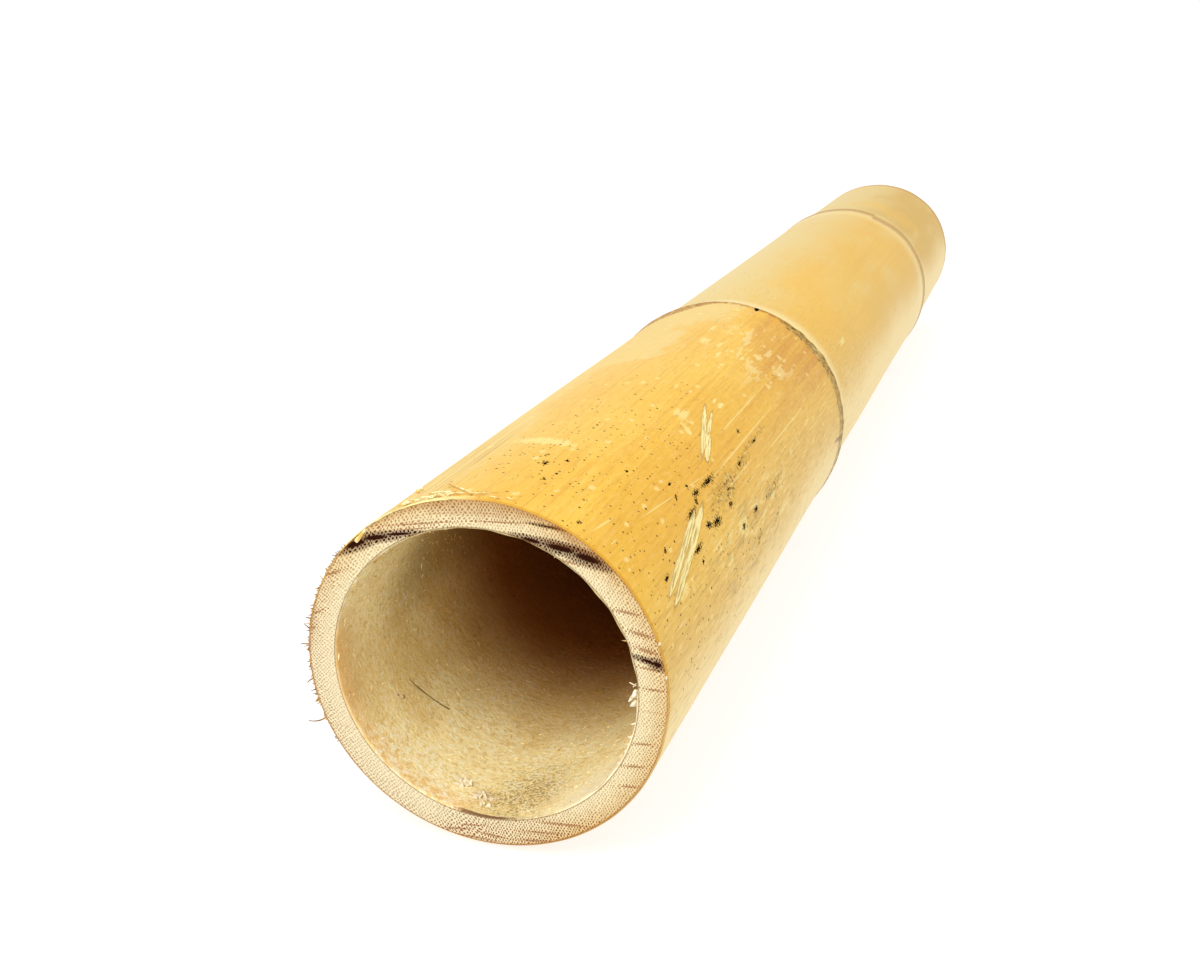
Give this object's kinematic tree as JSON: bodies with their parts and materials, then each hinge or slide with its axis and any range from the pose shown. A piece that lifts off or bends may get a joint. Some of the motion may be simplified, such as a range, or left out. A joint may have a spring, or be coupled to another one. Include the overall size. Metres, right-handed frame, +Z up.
{
  "type": "bamboo cane",
  "caption": "Cut length of thick bamboo culm lying on its side: slightly oval, tapering, hollow between its node plates, with sawn open ends.",
  "frame": {"origin": "on the surface that the cane lies on, under the middle of its box", "axes": "+Y along the cane from the butt end to the tip end, +Z up, +X to the right when looking into the butt end"},
  "size_m": [0.092, 0.608, 0.0904],
  "materials": {
    "bamboo": "satin, yellowed natural skin, raw sawn ends"
  },
  "bodies": {
    "root": {"culm": "bamboo"}
  },
  "joints": []
}
